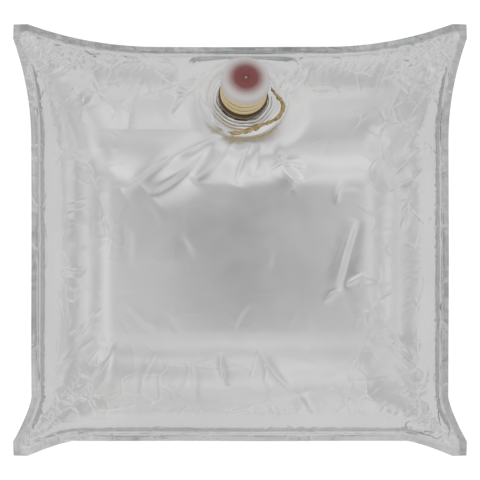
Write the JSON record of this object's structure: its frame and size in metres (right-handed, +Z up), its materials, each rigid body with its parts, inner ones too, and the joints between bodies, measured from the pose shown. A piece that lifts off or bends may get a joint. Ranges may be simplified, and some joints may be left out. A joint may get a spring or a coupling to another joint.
{
  "type": "filled bag-in-box liner pouch with spout",
  "caption": "Filled, heat-sealed metallised film liner pouch of a bag-in-box pack, lying on its back, with a welded ribbed spout and a pull-off cap.",
  "frame": {"origin": "on the floor under the centre of the pouch's outline", "axes": "+Z up, +X across the pouch, +Y towards the sealed edge that is nearest the spout"},
  "size_m": [0.342, 0.3256, 0.1008],
  "materials": {
    "metallised_film": "metallised plastic laminate, semi-bright, creased and softly crumpled",
    "amber_plastic": "natural amber polyethylene, slightly translucent, moulded",
    "frosted_plastic": "frosted natural polyethylene, translucent, satin",
    "red_contents": "thick red liquid food, wet gloss"
  },
  "bodies": {
    "pack": {"pouch": "metallised_film", "spout": "amber_plastic", "contents_in_neck": "red_contents"},
    "closure": {"cap": "frosted_plastic"}
  },
  "joints": [
    {"name": "cap_pull", "type": "slide", "parent": "pack", "child": "closure", "axis": [0.0696, 0.3737, 0.9249], "range_m": [0, 0.025]}
  ]
}
